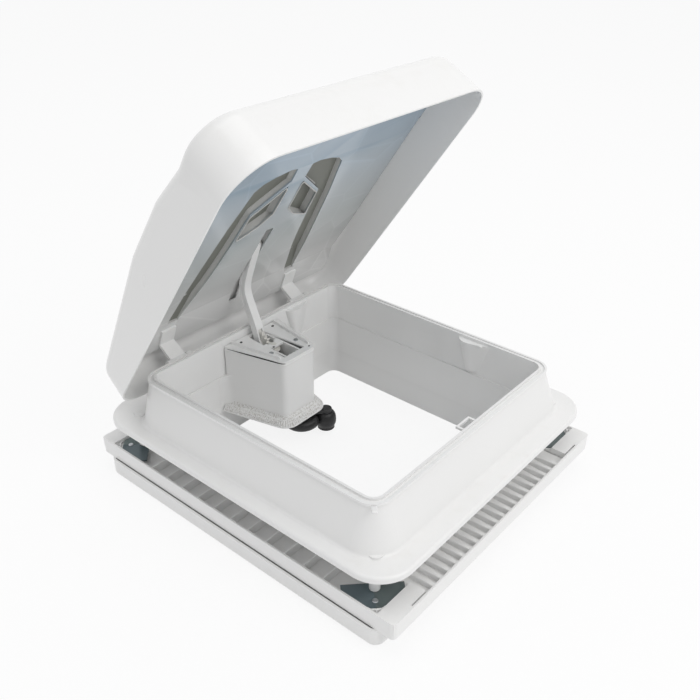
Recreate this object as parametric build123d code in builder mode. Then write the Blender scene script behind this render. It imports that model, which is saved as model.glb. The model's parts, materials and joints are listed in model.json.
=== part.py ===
"""Crank-operated caravan roof vent: outer frame, domed lid, crank gearbox and ceiling-side frame.

Millimetres. +Z is up through the roof, +X and +Y lie in the roof, and the hinge runs along X at the +Y side.
The origin is the centre of the four fixing holes, at the upper face of the corner plates.
The lid is drawn shut and then turned about its hinge to the angle at which the vent stands open.
"""

import os
from math import atan2, cos, degrees, hypot, pi, radians, sin

from build123d import *

os.makedirs("parts", exist_ok=True)

# The roof opening, and how far the large pieces stand off it or off each other
opening_x = 360.0
opening_y = 374.0
opening_shift = 4.0
opening_radius = 14.0
tray_margin_x = 44.0
tray_margin_y = 68.0
tray_radius = 6.0
flange_margin_x = 4.0
flange_inset_y = 9.5
flange_radius = 46.0
bezel_margin_x = 4.5
bezel_inset_y = 18.0
bezel_radius = 14.0
lid_margin_x = 43.0
lid_margin_y = 49.0
lid_crown = 83.0
open_angle = 55.3
tray_x = opening_x + 2 * tray_margin_x
tray_y = opening_y + 2 * tray_margin_y
flange_x = tray_x + 2 * flange_margin_x
flange_y = tray_y - 2 * flange_inset_y
bezel_x = tray_x + 2 * bezel_margin_x
bezel_y = tray_y - 2 * bezel_inset_y
lid_x = opening_x + 2 * lid_margin_x
lid_y = opening_y + 2 * lid_margin_y
opening_front = -opening_shift - opening_y / 2
opening_back = -opening_shift + opening_y / 2

# Levels, measured from the upper face of the corner plates
rim_level = 112.0
ledge_level = 55.0
flange_top = 51.0
flange_thickness = 8.0
throat_bottom = -3.5
tray_top = 4.0
tray_floor = -12.0
tray_bottom = -19.0
bezel_bottom = -46.0

# Walls, clearances and cuts
wall = 3.0
thin_wall = 2.4
seat_gap = 0.3
running_clearance = 0.05
overrun = 4.0
edge_round = 1.2

# Hinge and lid levels
hinge_behind_opening = 18.0
hinge_below_rim = 10.0
lid_edge_below_rim = 20.0

# Corner fixing
fixing_inset_x = 18.0
fixing_inset_y = 40.0
fixing_hole_radius = 3.0
clamp_inset_x = 14.0
clamp_inset_y = 12.0
clamp_screw_radius = 2.5
clamp_head_radius = 5.0
clamp_head_height = 3.0
sleeve_radius = 6.5
plate_thickness = 1.5
plate_side = 7.0
plate_reach = 51.0
plate_edge = 14.0
plate_clip = 7.0

fixing_x = tray_x - 2 * fixing_inset_x
fixing_y = tray_y - 2 * fixing_inset_y
clamp_x = fixing_x - 2 * clamp_inset_x
clamp_y = fixing_y - 2 * clamp_inset_y
hinge_y = opening_back + hinge_behind_opening
hinge_z = rim_level - hinge_below_rim
lid_edge = rim_level - lid_edge_below_rim
flange_bottom = flange_top - flange_thickness
hinge_axis = Axis((0, hinge_y, hinge_z), (-1, 0, 0))


def rounded(x0, x1, y0, y1, front_radius, back_radius):
    """A rectangle between four sides, with one radius at the front corners and one at the back."""
    with BuildSketch(mode=Mode.PRIVATE) as outline:
        with Locations(((x0 + x1) / 2, (y0 + y1) / 2)):
            Rectangle(x1 - x0, y1 - y0)
        middle = (y0 + y1) / 2
        fillet(outline.vertices().filter_by(lambda v: v.Y < middle), front_radius)
        fillet(outline.vertices().filter_by(lambda v: v.Y > middle), back_radius)
    return outline.sketch


def centred(size_x, size_y, radius):
    """A rounded rectangle centred on the origin."""
    return rounded(-size_x / 2, size_x / 2, -size_y / 2, size_y / 2, radius, radius)


def opened(solid):
    """Turns a solid drawn on the shut lid to the lid's open angle."""
    return solid.rotate(hinge_axis, open_angle)


def finish(solid, name):
    """Labels a finished piece and writes it."""
    solid.label = name
    export_step(solid, f"parts/{name}.step")


def corners(size_x, size_y):
    """The four corner points of a centred rectangle."""
    return [(side_x * size_x / 2, side_y * size_y / 2) for side_x in (-1, 1) for side_y in (-1, 1)]


# Outer frame: flange, sloped upstand, rim and the throat that goes down through the roof
lip_reach = 11.0
lip_height = 4.5
rim_width = 3.0
groove_width = 5.0
groove_depth = 3.0
upstand_spread = 17.0
upstand_back_spread = 7.0
upstand_radius = 24.0
ledge_step = 1.6
foot_fillet = 5.0
flange_edge_fillet = 3.5
shell_roof = rim_level - lip_height - groove_depth - wall
hinge_offset = 119.0
hinge_width = 40.0
leaf_width = 24.0
hinge_pin_radius = 2.5
knuckle_radius = 6.0
knuckle_depth = 14.0
boss_radius = 9.0
latch_x = 3.0
latch_width = 28.0
latch_reach = 11.5
latch_bar = 3.0
pocket_width = 46.0
pocket_foot = 20.0
pocket_height = 48.0
pocket_depth = 2.2
pocket_below_rim = 5.0
side_pocket_y = -83.0
back_pocket_x = 96.0


def rim_ring(reach):
    """The opening's outline grown outwards by reach, with its corner radius grown alike."""
    half_x = opening_x / 2 + reach
    radius = opening_radius + reach
    return rounded(-half_x, half_x, opening_front - reach, opening_back + reach, radius, radius)


def upstand_ring(share, inset):
    """The upstand's outline at a share of its way down, drawn in by inset."""
    half_x = opening_x / 2 + lip_reach + share * upstand_spread - inset
    front = opening_front - lip_reach - share * upstand_spread + inset
    back = opening_back + lip_reach + share * upstand_back_spread - inset
    radius = upstand_radius + share * upstand_spread - inset
    return rounded(-half_x, half_x, front, back, radius, radius)


def pocket_outline():
    """A shallow latch recess in the throat wall, wide at the top and narrow at its foot."""
    with BuildSketch(mode=Mode.PRIVATE) as outline:
        Polygon((-pocket_width / 2, 0), (pocket_width / 2, 0), (pocket_foot / 2, -pocket_height),
                (-pocket_foot / 2, -pocket_height), align=None)
        fillet(outline.vertices(), edge_round * 2)
    return outline.sketch


with BuildPart() as outer_frame:
    with BuildSketch(Plane.XY.offset(flange_bottom)):
        add(centred(flange_x, flange_y, flange_radius))
    extrude(amount=flange_thickness)
    fillet(outer_frame.edges().group_by(Axis.Z)[-1], flange_edge_fillet)
    with BuildSketch(Plane.XY.offset(flange_top)):
        add(upstand_ring(1, 0))
    with BuildSketch(Plane.XY.offset(rim_level - lip_height)):
        add(upstand_ring(0, lip_height / 2))
    loft()
    foot = outer_frame.edges().filter_by_position(Axis.Z, flange_top - edge_round, flange_top + edge_round)
    foot = foot.filter_by(lambda e: abs(e.center().X) < flange_x / 2 - upstand_spread)
    foot = foot.filter_by(lambda e: abs(e.center().Y) < flange_y / 2 - upstand_spread)
    fillet(foot, foot_fillet)
    with BuildSketch(Plane.XY.offset(rim_level - lip_height)):
        add(rim_ring(lip_reach))
    extrude(amount=lip_height - edge_round)
    # knuckles that carry the lid's hinge pins
    for side in (-1, 1):
        with BuildSketch(Plane.YZ.offset(side * hinge_offset)):
            with Locations((hinge_y, hinge_z)):
                Circle(knuckle_radius)
            with Locations((hinge_y - knuckle_depth / 2, hinge_z)):
                Rectangle(knuckle_depth, 2 * knuckle_radius)
        extrude(amount=hinge_width / 2, both=True)
    with BuildSketch(Plane.XY.offset(rim_level - lip_height)):
        add(rim_ring(rim_width))
    extrude(amount=lip_height)
    # hollow of the moulding, open from below
    with BuildSketch(Plane.XY.offset(flange_bottom)):
        add(upstand_ring(1, wall))
    with BuildSketch(Plane.XY.offset(shell_roof)):
        add(upstand_ring(0, wall + lip_height / 2))
    loft(mode=Mode.SUBTRACT)
    # bosses with the seats that the spacer sleeves stand in
    with BuildSketch(Plane.XY.offset(flange_bottom)):
        with Locations(corners(clamp_x, clamp_y)):
            Circle(boss_radius)
    extrude(amount=flange_thickness + wall)
    with BuildSketch(Plane.XY.offset(flange_bottom)):
        with Locations(corners(clamp_x, clamp_y)):
            Circle(sleeve_radius + running_clearance)
    extrude(amount=wall, mode=Mode.SUBTRACT)
    with BuildSketch(Plane.XY.offset(rim_level)):
        add(rim_ring(rim_width + groove_width))
        add(rim_ring(rim_width), mode=Mode.SUBTRACT)
    extrude(amount=-groove_depth, mode=Mode.SUBTRACT)
    # throat wall, stepped inwards below the ledge
    with BuildSketch(Plane.XY.offset(throat_bottom)):
        add(rim_ring(wall))
    extrude(amount=rim_level - lip_height - throat_bottom)
    with BuildSketch(Plane.XY.offset(ledge_level)):
        add(rim_ring(0))
    extrude(amount=rim_level - ledge_level + overrun, mode=Mode.SUBTRACT)
    with BuildSketch(Plane.XY.offset(throat_bottom - overrun)):
        add(rim_ring(-ledge_step))
    extrude(amount=ledge_level - throat_bottom + 2 * overrun, mode=Mode.SUBTRACT)
    # gaps for the lid's hinge leaves, and the bores for their pins
    for side in (-1, 1):
        with BuildSketch(Plane.YZ.offset(side * hinge_offset)):
            with Locations((hinge_y, hinge_z)):
                Circle(knuckle_radius + edge_round)
                with Locations((0, knuckle_radius)):
                    Rectangle(2 * knuckle_radius, 2 * knuckle_radius)
        extrude(amount=leaf_width / 2 + seat_gap, both=True, mode=Mode.SUBTRACT)
        with BuildSketch(Plane.YZ.offset(side * hinge_offset)):
            with Locations((hinge_y, hinge_z)):
                Circle(hinge_pin_radius + running_clearance)
        extrude(amount=hinge_width / 2 + overrun, both=True, mode=Mode.SUBTRACT)
    # latch loop on the front rim
    latch_level = rim_level - latch_bar / 2
    with BuildSketch(Plane.XY.offset(latch_level - latch_bar)):
        with Locations((latch_x, opening_front + latch_reach / 2)):
            Rectangle(latch_width, latch_reach)
        with Locations((latch_x, opening_front + (latch_reach - latch_bar) / 2)):
            Rectangle(latch_width - 2 * latch_bar, latch_reach - latch_bar, mode=Mode.SUBTRACT)
    extrude(amount=latch_bar)
    # latch recesses in the throat's right and hinge-side walls
    with BuildSketch(Plane((opening_x / 2, side_pocket_y, rim_level - pocket_below_rim),
                           x_dir=(0, 1, 0), z_dir=(1, 0, 0))):
        add(pocket_outline())
    extrude(amount=pocket_depth, mode=Mode.SUBTRACT)
    with BuildSketch(Plane((back_pocket_x, opening_back, rim_level - pocket_below_rim),
                           x_dir=(-1, 0, 0), z_dir=(0, 1, 0))):
        add(pocket_outline())
    extrude(amount=pocket_depth, mode=Mode.SUBTRACT)
    # blind holes for the clamp screws
    with BuildSketch(Plane.XY.offset(flange_bottom)):
        with Locations(corners(clamp_x, clamp_y)):
            Circle(clamp_screw_radius + seat_gap)
    extrude(amount=flange_thickness, mode=Mode.SUBTRACT)
finish(outer_frame.part, "outer_frame")

# Hinge pins
for side, side_name in ((-1, "left"), (1, "right")):
    with BuildPart() as hinge_pin:
        with BuildSketch(Plane.YZ.offset(side * hinge_offset)):
            with Locations((hinge_y, hinge_z)):
                Circle(hinge_pin_radius)
        extrude(amount=hinge_width / 2, both=True)
    finish(hinge_pin.part, f"hinge_pin_{side_name}")

# Ceiling tray: the frame that clamps against the ceiling, with its air vanes
tray_wall = 2.4
tray_floor_thickness = 2.4
neck_lip = 3.0
neck_gap = 0.5
pad_reach = 64.0
vane_thickness = 1.8
vane_pitch = 14.9
vane_count = 19
vane_below_top = 1.5
vane_bow = 4.6
vane_bow_share = 0.45
vane_sweep = 2.4
shelf_gap = 1.2
shelf_slot_length = 37.0
shelf_slot_width = 2.2
shelf_slot_x = 170.0
shelf_slot_depth = 6.0
rib_thickness = 2.2
rib_pitch = 30.2
rib_count = 11
neck = wall + seat_gap


def neck_ring(reach):
    """The neck of the tray round the throat, grown outwards by reach."""
    return rim_ring(neck + reach)


with BuildPart() as ceiling_tray:
    with BuildSketch(Plane.XY.offset(tray_bottom)):
        add(centred(tray_x, tray_y, tray_radius))
        add(centred(tray_x - 2 * tray_wall, tray_y - 2 * tray_wall, tray_radius - tray_wall), mode=Mode.SUBTRACT)
    extrude(amount=tray_top - tray_bottom)
    with BuildSketch(Plane.XY.offset(tray_floor)):
        add(centred(tray_x - tray_wall, tray_y - tray_wall, tray_radius - tray_wall))
        add(rim_ring(0), mode=Mode.SUBTRACT)
    extrude(amount=tray_floor_thickness)
    with BuildSketch(Plane.XY.offset(tray_bottom)):
        add(neck_ring(neck_lip))
        add(rim_ring(0), mode=Mode.SUBTRACT)
    extrude(amount=throat_bottom - neck_gap - tray_bottom)
    with BuildSketch(Plane.XY.offset(tray_floor)):
        add(neck_ring(neck_lip))
        add(neck_ring(0), mode=Mode.SUBTRACT)
    extrude(amount=tray_top - tray_floor)
    # corner pads under the clamp plates
    for side_x, side_y in corners(2, 2):
        with BuildSketch(Plane.XY.offset(tray_floor)) as pad:
            with Locations((side_x * (tray_x - pad_reach) / 2, side_y * (tray_y - pad_reach) / 2)):
                Rectangle(pad_reach - tray_wall, pad_reach - tray_wall)
            add(neck_ring(neck_lip / 2), mode=Mode.SUBTRACT)
        extrude(amount=-plate_thickness - tray_floor)
        # shelf outside the plate, level with the tray's edge, with its narrow slot
        shelf_y = fixing_y / 2 + plate_edge + shelf_gap
        shelf_depth = (tray_y - tray_wall) / 2 - shelf_y
        with BuildSketch(Plane.XY.offset(tray_floor)):
            with Locations((side_x * (tray_x - pad_reach) / 2, side_y * (shelf_y + shelf_depth / 2))):
                Rectangle(pad_reach - tray_wall, shelf_depth)
        extrude(amount=tray_top - tray_floor)
        with BuildSketch(Plane.XY.offset(tray_top)):
            with Locations((side_x * shelf_slot_x, side_y * ((tray_y - tray_wall) / 2 - shelf_slot_width))):
                Rectangle(shelf_slot_length, shelf_slot_width)
        extrude(amount=-shelf_slot_depth, mode=Mode.SUBTRACT)
    # curved vanes along the front and the hinge side
    for side in (-1, 1):
        outer_end = side * (tray_y - tray_wall) / 2
        inner_end = (opening_front if side < 0 else opening_back) + side * (neck + neck_lip / 2)
        reach = outer_end - inner_end
        for number in range(vane_count):
            vane_x = (number - (vane_count - 1) / 2) * vane_pitch
            with BuildSketch(Plane.XY.offset(tray_floor)):
                with BuildLine():
                    Spline((vane_x - vane_sweep, inner_end),
                           (vane_x + vane_bow, inner_end + reach * vane_bow_share), (vane_x, outer_end))
                trace(line_width=vane_thickness)
            extrude(amount=tray_top - vane_below_top - tray_floor)
    # straight ribs along the two sides
    for side in (-1, 1):
        outer_end = side * (tray_x - tray_wall) / 2
        inner_end = side * (opening_x / 2 + neck + neck_lip / 2)
        for number in range(rib_count):
            rib_y = (number - (rib_count - 1) / 2) * rib_pitch
            with BuildSketch(Plane.XY.offset(tray_floor)):
                with Locations(((outer_end + inner_end) / 2, rib_y)):
                    Rectangle(abs(outer_end - inner_end), rib_thickness)
            extrude(amount=tray_top - vane_below_top - tray_floor)
    # screw and fixing holes in the pads
    with BuildSketch(Plane.XY.offset(tray_floor - overrun)):
        with Locations(corners(clamp_x, clamp_y)):
            Circle(clamp_screw_radius + seat_gap)
        with Locations(corners(fixing_x, fixing_y)):
            Circle(fixing_hole_radius)
    extrude(amount=-tray_floor + 2 * overrun, mode=Mode.SUBTRACT)
finish(ceiling_tray.part, "ceiling_tray")

# Corner clamp plates, each with its screw and spacer sleeve
corner_names = ("front_left", "back_left", "front_right", "back_right")
for (side_x, side_y), corner_name in zip(corners(2, 2), corner_names):
    plate_outer_x = tray_x / 2 - plate_side / 2
    plate_outer_y = fixing_y / 2 + plate_edge
    with BuildPart() as clamp_plate:
        with BuildSketch(Plane.XY.offset(-plate_thickness)):
            Polygon(
                (side_x * plate_outer_x, side_y * (plate_outer_y - plate_reach)),
                (side_x * plate_outer_x, side_y * (plate_outer_y - plate_edge)),
                (side_x * (plate_outer_x - plate_edge), side_y * plate_outer_y),
                (side_x * (plate_outer_x - plate_reach), side_y * plate_outer_y),
                (side_x * (plate_outer_x - plate_reach - plate_clip), side_y * (plate_outer_y - plate_clip)),
                (side_x * (plate_outer_x - plate_clip), side_y * (plate_outer_y - plate_reach - plate_clip)),
                align=None)
            with Locations((side_x * clamp_x / 2, side_y * clamp_y / 2)):
                Circle(clamp_screw_radius + seat_gap, mode=Mode.SUBTRACT)
            with Locations((side_x * fixing_x / 2, side_y * fixing_y / 2)):
                Circle(fixing_hole_radius, mode=Mode.SUBTRACT)
            add(neck_ring(neck_lip + seat_gap), mode=Mode.SUBTRACT)
        extrude(amount=plate_thickness)
    finish(clamp_plate.part, f"clamp_plate_{corner_name}")
    with BuildPart() as spacer_sleeve:
        with BuildSketch():
            with Locations((side_x * clamp_x / 2, side_y * clamp_y / 2)):
                Circle(sleeve_radius)
                Circle(clamp_screw_radius + seat_gap, mode=Mode.SUBTRACT)
        extrude(amount=flange_bottom + wall)
        fillet(spacer_sleeve.edges().group_by(Axis.Z)[0].sort_by(SortBy.LENGTH)[-1], edge_round)
    finish(spacer_sleeve.part, f"spacer_sleeve_{corner_name}")
    with BuildPart() as clamp_screw:
        with BuildSketch(Plane.XY.offset(tray_floor)):
            with Locations((side_x * clamp_x / 2, side_y * clamp_y / 2)):
                Circle(clamp_screw_radius)
        extrude(amount=flange_bottom + flange_thickness - wall / 2 - tray_floor)
        with BuildSketch(Plane.XY.offset(tray_floor)):
            with Locations((side_x * clamp_x / 2, side_y * clamp_y / 2)):
                Circle(clamp_head_radius)
        extrude(amount=-clamp_head_height)
        chamfer(clamp_screw.edges().group_by(Axis.Z)[0], clamp_head_height / 3)
    finish(clamp_screw.part, f"clamp_screw_{corner_name}")

# Ceiling bezel that hides the screw heads
bezel_fillet = 8.0
with BuildPart() as bezel:
    with BuildSketch(Plane.XY.offset(bezel_bottom)):
        add(centred(bezel_x, bezel_y, bezel_radius))
    extrude(amount=tray_bottom - bezel_bottom)
    fillet(bezel.edges().group_by(Axis.Z)[0], bezel_fillet)
    with BuildSketch(Plane.XY.offset(bezel_bottom + wall)):
        add(centred(bezel_x - 2 * wall, bezel_y - 2 * wall, bezel_radius - wall))
        add(rim_ring(wall), mode=Mode.SUBTRACT)
    extrude(amount=tray_bottom - bezel_bottom, mode=Mode.SUBTRACT)
    with BuildSketch(Plane.XY.offset(bezel_bottom - overrun)):
        add(rim_ring(0))
    extrude(amount=tray_bottom - bezel_bottom + 2 * overrun, mode=Mode.SUBTRACT)
finish(bezel.part, "bezel")

# Crank gearbox
box_top = 102.0
box_bottom = 8.0
box_back_half = 54.6
box_front_half = 31.0
box_depth = 97.0
box_corner = 10.0
box_wall = 3.0
cover_thickness = 3.0
well_front_half = 20.0
well_back_half = 13.0
well_front_inset = 11.0
well_back_inset = 7.0
lip_front_x = 27.5
lip_back_x = 41.0
lip_width = 2.2
lip_rise = 4.0
cheek_half = 15.0
cheek_bottom = 40.0
base_thickness = 5.0
base_flare = 6.0
underplate_thickness = 4.0
pivot_inset = 17.0
pivot_below_top = 12.0
pivot_radius = 4.0
gear_module = 2.0
wheel_teeth = 20
wheel_thickness = 5.0
wheel_sector_degrees = (63, 117, 171, 225)
tooth_backlash = 0.5
tooth_depth_share = 1.25
tooth_root_share = 1.7
tooth_tip_share = 0.45
arm_cheek_inner = 3.8
arm_cheek = 2.6
arm_side = arm_cheek_inner + arm_cheek
worm_radius = 7.5
worm_turns = 1.3
worm_turns_below_pivot = 0.75
shaft_radius = 4.0
stub_radius = 3.0
stub_bush_radius = 4.5
bush_wall = 3.0
bridge_thickness = 2.4
spur_module = 1.5
spur_teeth = 21
spur_thickness = 8.0
spur_level = 12.0
box_back_y = opening_back - ledge_step - seat_gap
box_front_y = opening_back - box_depth
well_front = box_front_y + well_front_inset
well_back = opening_back - well_back_inset
pivot_y = opening_back - pivot_inset
pivot_z = box_top - pivot_below_top
wheel_radius = gear_module * wheel_teeth / 2
worm_y = pivot_y - wheel_radius - worm_radius
spur_radius = spur_module * spur_teeth / 2
crank_y = worm_y - 2 * spur_radius
worm_lead = pi * gear_module
worm_length = worm_lead * worm_turns
bush_radius = shaft_radius + bush_wall
cheek_top = box_top - cover_thickness
base_bottom = box_bottom - base_thickness
under_bottom = base_bottom - underplate_thickness


def box_outline(reach):
    """The gearbox in plan: wide at the throat wall and narrow at its front, grown by reach."""
    with BuildSketch(mode=Mode.PRIVATE) as outline:
        slant = (box_back_half - box_front_half) / (box_back_y - box_front_y)
        side = reach * hypot(1, slant)
        back = box_back_y + min(reach, 0)
        back_half = box_back_half + side + slant * min(reach, 0)
        front_half = box_front_half + side - slant * reach
        Polygon((-back_half, back), (-front_half, box_front_y - reach),
                (front_half, box_front_y - reach), (back_half, back), align=None)
        front = outline.vertices().filter_by(lambda v: v.Y < box_back_y - box_corner)
        fillet(front, box_corner + reach)
    return outline.sketch


with BuildPart() as gearbox_housing:
    with BuildSketch(Plane.XY.offset(box_bottom)):
        add(box_outline(0))
        add(box_outline(-box_wall), mode=Mode.SUBTRACT)
    extrude(amount=cheek_top - box_bottom)
    for side in (-1, 1):
        with BuildSketch(Plane.XY.offset(cheek_bottom)):
            with Locations((side * (cheek_half - box_wall / 2), (box_front_y + box_back_y) / 2)):
                Rectangle(box_wall, box_back_y - box_front_y - box_wall)
        extrude(amount=cheek_top - cheek_bottom)
    # bridge that holds the worm shaft's upper bush
    with BuildSketch(Plane.XY.offset(cheek_top - bridge_thickness)):
        with Locations((0, worm_y)):
            Rectangle(2 * cheek_half - box_wall, 2 * (stub_bush_radius + box_wall))
            Circle(stub_bush_radius, mode=Mode.SUBTRACT)
        with Locations((0, worm_y + stub_bush_radius + box_wall)):
            Rectangle(2 * arm_side + edge_round, 2 * box_wall + edge_round, mode=Mode.SUBTRACT)
    extrude(amount=bridge_thickness)
    with BuildSketch(Plane.YZ):
        with Locations((pivot_y, pivot_z)):
            Circle(pivot_radius)
    extrude(amount=cheek_half + edge_round, both=True, mode=Mode.SUBTRACT)
finish(gearbox_housing.part, "gearbox_housing")

# Cover of the gearbox, with the well that the lifting arm stands in
cover_screw_x = 24.6
cover_screw_behind_well_front = 21.0
cover_screw_radius = 1.6
cover_head_radius = 3.2
cover_head_height = 1.2
cover_screw_y = well_front + cover_screw_behind_well_front
with BuildPart() as gearbox_cover:
    with BuildSketch(Plane.XY.offset(cheek_top)):
        add(box_outline(0))
        Polygon((-well_front_half, well_front), (well_front_half, well_front), (well_back_half, well_back),
                (-well_back_half, well_back), align=None, mode=Mode.SUBTRACT)
    extrude(amount=cover_thickness)
    fillet(gearbox_cover.edges().group_by(Axis.Z)[-1], edge_round / 2)
    with BuildSketch(Plane.XY.offset(cheek_top)):
        with Locations((-cover_screw_x, cover_screw_y), (cover_screw_x, cover_screw_y)):
            Circle(cover_screw_radius)
    extrude(amount=cover_thickness, mode=Mode.SUBTRACT)
    # raised lips along the cover's two wings
    for side in (-1, 1):
        with BuildSketch(Plane.XY.offset(cheek_top + edge_round)):
            Polygon((side * lip_front_x, well_front), (side * lip_back_x, box_back_y - edge_round),
                    (side * (lip_back_x + lip_width), box_back_y - edge_round),
                    (side * (lip_front_x + lip_width), well_front), align=None)
        extrude(amount=cover_thickness - edge_round + lip_rise)
finish(gearbox_cover.part, "gearbox_cover")

with BuildPart() as cover_screws:
    with BuildSketch(Plane.XY.offset(cheek_top)):
        with Locations((-cover_screw_x, cover_screw_y), (cover_screw_x, cover_screw_y)):
            Circle(cover_screw_radius - running_clearance)
    extrude(amount=cover_thickness)
    with BuildSketch(Plane.XY.offset(box_top)):
        with Locations((-cover_screw_x, cover_screw_y), (cover_screw_x, cover_screw_y)):
            Circle(cover_head_radius)
    extrude(amount=cover_head_height)
finish(cover_screws.part, "cover_screws")

# Base flange and underplate of the gearbox
with BuildPart() as gearbox_base:
    with BuildSketch(Plane.XY.offset(base_bottom)):
        add(box_outline(base_flare))
        with Locations((0, worm_y), (0, crank_y)):
            Circle(bush_radius, mode=Mode.SUBTRACT)
    extrude(amount=base_thickness)
    fillet(gearbox_base.faces().sort_by(Axis.Z)[-1].outer_wire().edges(), edge_round)
finish(gearbox_base.part, "gearbox_base")

with BuildPart() as gearbox_underplate:
    with BuildSketch(Plane.XY.offset(under_bottom)):
        add(box_outline(0))
        with Locations((0, crank_y)):
            Circle(bush_radius, mode=Mode.SUBTRACT)
    extrude(amount=underplate_thickness)
finish(gearbox_underplate.part, "gearbox_underplate")


def bush(centre_y, level, height, outer, inner, name):
    """A plain bush that a vertical shaft runs in."""
    with BuildPart() as plain_bush:
        with BuildSketch(Plane.XY.offset(level)):
            with Locations((0, centre_y)):
                Circle(outer)
                Circle(inner + running_clearance, mode=Mode.SUBTRACT)
        extrude(amount=height)
    finish(plain_bush.part, name)


bush(worm_y, base_bottom, base_thickness, bush_radius, shaft_radius, "worm_bush_lower")
bush(worm_y, cheek_top - bridge_thickness, bridge_thickness, stub_bush_radius, stub_radius, "worm_bush_upper")
bush(crank_y, under_bottom, base_thickness + underplate_thickness, bush_radius, shaft_radius, "crank_bush")

with BuildPart() as arm_pivot_pin:
    with BuildSketch(Plane.YZ):
        with Locations((pivot_y, pivot_z)):
            Circle(pivot_radius)
    extrude(amount=cheek_half, both=True)
finish(arm_pivot_pin.part, "arm_pivot_pin")


def gear_outline(teeth, module, phase):
    """A gear in its own plane: straight-sided teeth on a disc, with a tooth at the phase angle."""
    radius = module * teeth / 2
    root = radius - tooth_depth_share * module
    tip = radius + module
    half = (pi * module / 2 - tooth_backlash) / 2
    half_root = half * tooth_root_share
    half_tip = half * tooth_tip_share
    with BuildSketch(mode=Mode.PRIVATE) as outline:
        Circle(root)
        for number in range(teeth):
            with Locations(Rot(0, 0, phase + number * 360 / teeth)):
                Polygon((root - module, half_root), (root - module, -half_root), (root, -half_root),
                        (tip, -half_tip), (tip, half_tip), (root, half_root), align=None)
    return outline.sketch


# Worm shaft: thread against the wheel above, spur gear below
worm_core = worm_radius - tooth_depth_share * gear_module
thread_half = (pi * gear_module / 2 - tooth_backlash) / 2
with BuildPart() as worm_shaft:
    with BuildSketch(Plane.XY.offset(base_bottom)):
        with Locations((0, worm_y)):
            Circle(shaft_radius)
    extrude(amount=pivot_z - base_bottom)
    with BuildSketch(Plane.XY.offset(pivot_z)):
        with Locations((0, worm_y)):
            Circle(stub_radius)
    extrude(amount=cheek_top - pivot_z)
    with BuildSketch(Plane.XY.offset(spur_level + spur_thickness + bush_wall)):
        with Locations((0, worm_y)):
            Circle(worm_core)
    extrude(amount=cheek_top - bridge_thickness - seat_gap - spur_level - spur_thickness - bush_wall)
    half_root = thread_half * tooth_root_share
    half_tip = thread_half * tooth_tip_share
    with BuildLine(Plane((0, worm_y, pivot_z - worm_lead * worm_turns_below_pivot))) as thread_path:
        Helix(worm_lead, worm_length, worm_core)
    with BuildSketch(Plane(origin=thread_path.line @ 0, x_dir=(1, 0, 0), z_dir=thread_path.line % 0)):
        Polygon((-gear_module / 4, -half_root), (worm_radius + gear_module - worm_core, -half_tip),
                (worm_radius + gear_module - worm_core, half_tip), (-gear_module / 4, half_root), align=None)
    sweep(path=thread_path.line, is_frenet=True)
finish(worm_shaft.part, "worm_shaft")

with BuildPart() as worm_spur:
    with BuildSketch(Plane((0, worm_y, spur_level))):
        add(gear_outline(spur_teeth, spur_module, -90 + 180 / spur_teeth))
        Circle(shaft_radius, mode=Mode.SUBTRACT)
    extrude(amount=spur_thickness)
finish(worm_spur.part, "worm_spur_gear")

with BuildPart() as crank_spur:
    with BuildSketch(Plane((0, crank_y, spur_level))):
        add(gear_outline(spur_teeth, spur_module, 90))
        Circle(shaft_radius, mode=Mode.SUBTRACT)
    extrude(amount=spur_thickness)
finish(crank_spur.part, "crank_spur_gear")

# Crank: shaft, arm, screw and knob
crank_gap = 0.5
crank_thickness = 5.0
crank_hub_radius = 9.0
crank_end_radius = 8.5
knob_x = 37.0
knob_ahead_of_box = 14.0
knob_radius = 15.0
knob_height = 28.0
knob_shares = ((0.70, 0.0), (0.94, 0.22), (1.0, 0.48), (0.93, 0.74), (0.80, 0.93), (0.84, 1.0))
knob_pin_radius = 3.0
knob_pin_head = 5.0
knob_y = box_front_y - knob_ahead_of_box
crank_top = under_bottom - crank_gap
crank_bottom = crank_top - crank_thickness
crank_throw = hypot(knob_x, knob_y - crank_y)
crank_heading = degrees(atan2(knob_y - crank_y, knob_x))

with BuildPart() as crank_shaft:
    with BuildSketch(Plane.XY.offset(crank_bottom)):
        with Locations((0, crank_y)):
            Circle(shaft_radius)
    extrude(amount=spur_level + spur_thickness + bush_wall - crank_bottom)
finish(crank_shaft.part, "crank_shaft")

with BuildPart() as crank_arm:
    with BuildSketch(Plane((0, crank_y, crank_bottom), x_dir=(knob_x, knob_y - crank_y, 0), z_dir=(0, 0, 1))):
        Circle(crank_hub_radius)
        with Locations((crank_throw, 0)):
            Circle(crank_end_radius)
        with Locations((crank_throw / 2, 0)):
            Rectangle(crank_throw, 2 * crank_end_radius - edge_round)
        Circle(shaft_radius, mode=Mode.SUBTRACT)
    extrude(amount=crank_thickness)
    with BuildSketch(Plane.XY.offset(crank_bottom - knob_height)):
        with Locations((knob_x, knob_y)):
            Circle(knob_pin_radius)
    extrude(amount=knob_height)
    with BuildSketch(Plane.XY.offset(crank_bottom - knob_height)):
        with Locations((knob_x, knob_y)):
            Circle(knob_pin_head)
    extrude(amount=-edge_round)
finish(crank_arm.part, "crank_arm")

with BuildPart() as crank_screw:
    with BuildSketch(Plane.XY.offset(crank_bottom)):
        with Locations((0, crank_y)):
            Circle(shaft_radius + edge_round)
    extrude(amount=-bush_wall)
finish(crank_screw.part, "crank_screw")

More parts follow.
